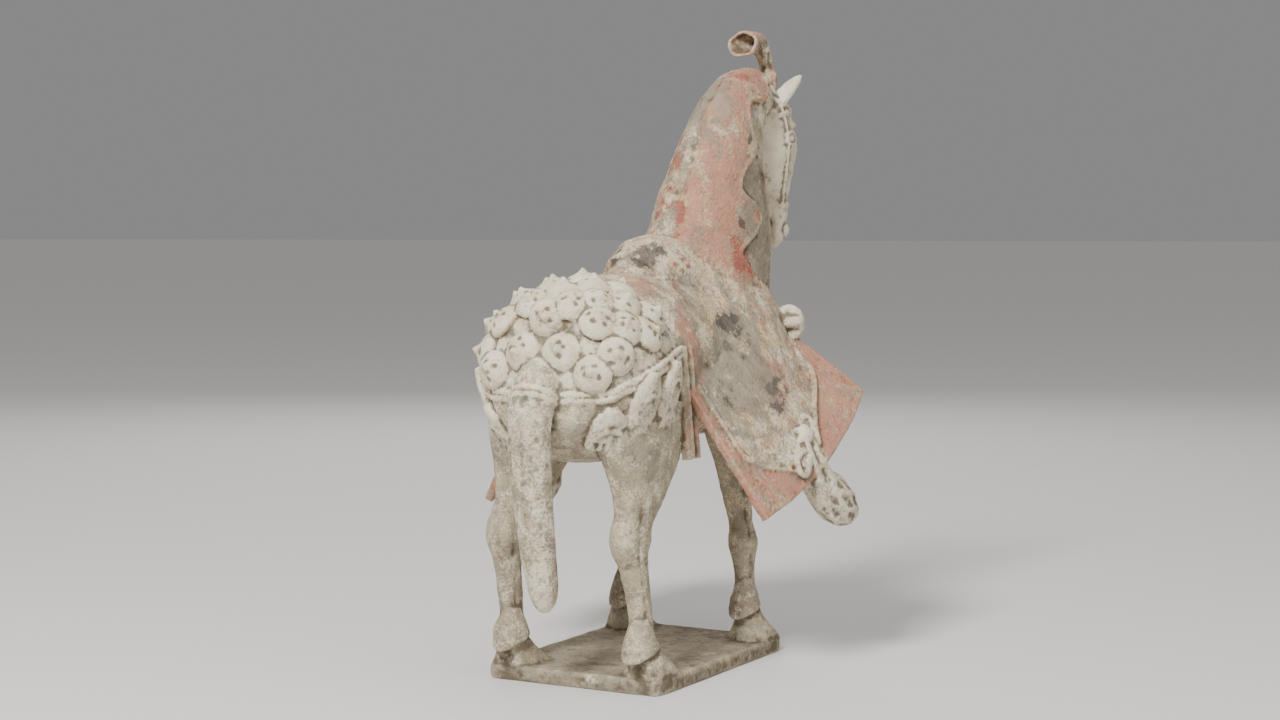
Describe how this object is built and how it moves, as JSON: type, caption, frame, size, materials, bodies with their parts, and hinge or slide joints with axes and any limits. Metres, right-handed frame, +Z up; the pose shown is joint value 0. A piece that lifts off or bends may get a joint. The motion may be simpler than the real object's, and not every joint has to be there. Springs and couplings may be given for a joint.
{
  "type": "painted pottery horse figure",
  "caption": "Painted pottery tomb horse in full tack, with a tied forelock, draped saddle, flared mudguards and bossed crupper, standing on a thin clay slab.",
  "frame": {"origin": "centre of the slab's underside", "axes": "+Z up; the horse faces -Y; its right side is towards -X"},
  "size_m": [0.233, 0.2897, 0.3955],
  "materials": {
    "painted_clay": "low-fired clay with worn white slip, red and pink pigment, grey and black patches and burial dirt"
  },
  "bodies": {
    "root": {"painted_pottery_horse": "painted_clay"}
  },
  "joints": []
}
